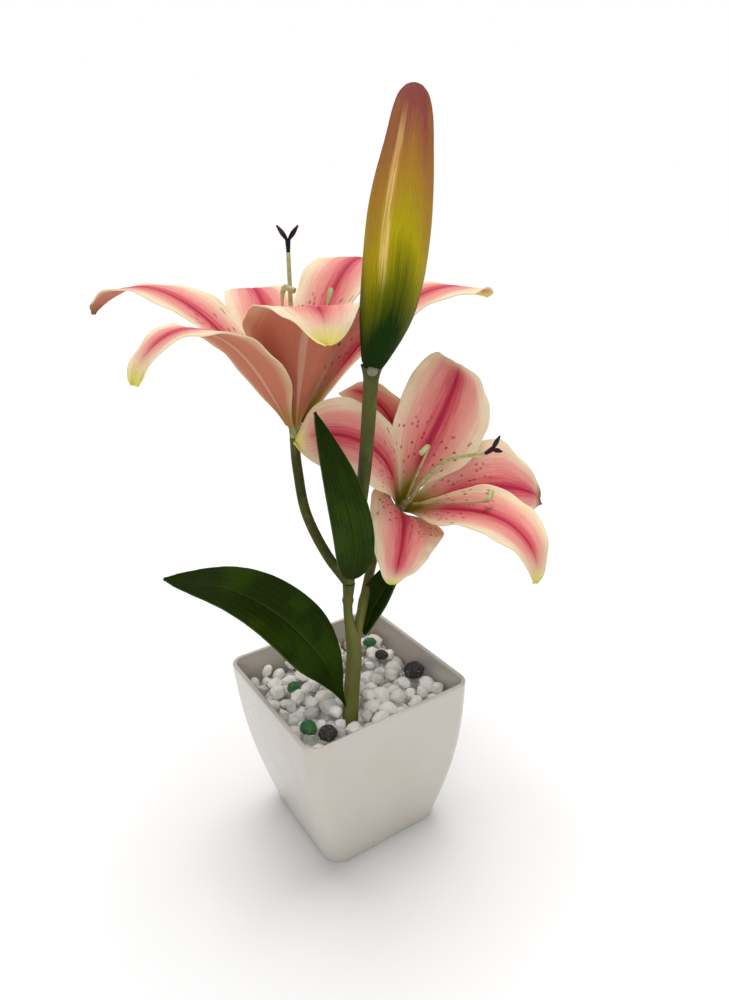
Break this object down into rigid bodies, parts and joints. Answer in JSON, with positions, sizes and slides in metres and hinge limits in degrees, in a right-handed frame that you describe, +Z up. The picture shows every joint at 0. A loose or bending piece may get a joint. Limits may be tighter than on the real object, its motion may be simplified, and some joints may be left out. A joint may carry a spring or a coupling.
{
  "type": "potted artificial lily",
  "caption": "Artificial lily spray with open pink flowers, a tall closed bud and dark leaves, standing in a small glossy square pot filled with white gravel.",
  "frame": {"origin": "centre of the pot's flat foot, on the surface it stands on", "axes": "+Z up, X and Y square to the pot's sides; the viewer of the flowers stands towards -Y and -X"},
  "size_m": [0.1954, 0.1735, 0.3201],
  "materials": {
    "pot_plastic": "glossy white moulded plastic",
    "foam": "dull green open-cell foam",
    "white_gravel": "tumbled white and pale grey pebbles",
    "dark_pebble": "dark tumbled pebble",
    "green_pebble": "green tumbled pebble",
    "stem": "satin olive-green moulded plastic",
    "pin": "pale moulded peg",
    "bud": "painted foam bud, deep green to yellow to plum",
    "leaf": "dark green coated leaf with a soft sheen",
    "petal": "satin coated petal, cream edges with a magenta band",
    "throat": "yellow-green moulded plastic",
    "pistil": "pale yellow-green moulded plastic",
    "stigma": "near-black plum flocking"
  },
  "bodies": {
    "root": {"pot": "pot_plastic", "planting_foam": "foam", "gravel_bed": "white_gravel", "dark_pebble_large": "dark_pebble", "dark_pebble_front": "dark_pebble", "dark_pebble_small": "dark_pebble", "green_pebble_front": "green_pebble", "green_pebble_left": "green_pebble", "green_pebble_back": "green_pebble", "main_stem": "stem", "bud_stem": "stem", "upper_flower_stem": "stem", "lower_flower_stem": "stem", "bud_pin": "pin", "bud": "bud", "leaf_broad": "leaf", "leaf_front": "leaf", "leaf_back": "leaf", "upper_receptacle": "throat", "upper_petal_front": "petal", "upper_petal_left": "petal", "upper_petal_back_right": "petal", "upper_petal_front_left": "petal", "upper_petal_right": "petal", "upper_petal_back_left": "petal", "upper_pistil": "pistil", "upper_stigma": "stigma", "upper_stamen_1": "pistil", "upper_stamen_2": "pistil", "lower_receptacle": "throat", "lower_petal_top": "petal", "lower_petal_lower_right": "petal", "lower_petal_left": "petal", "lower_petal_right": "petal", "lower_petal_front": "petal", "lower_petal_upper_left": "petal", "lower_pistil": "pistil", "lower_stigma": "stigma", "lower_stamen_1": "pistil", "lower_stamen_2": "pistil"}
  },
  "joints": []
}
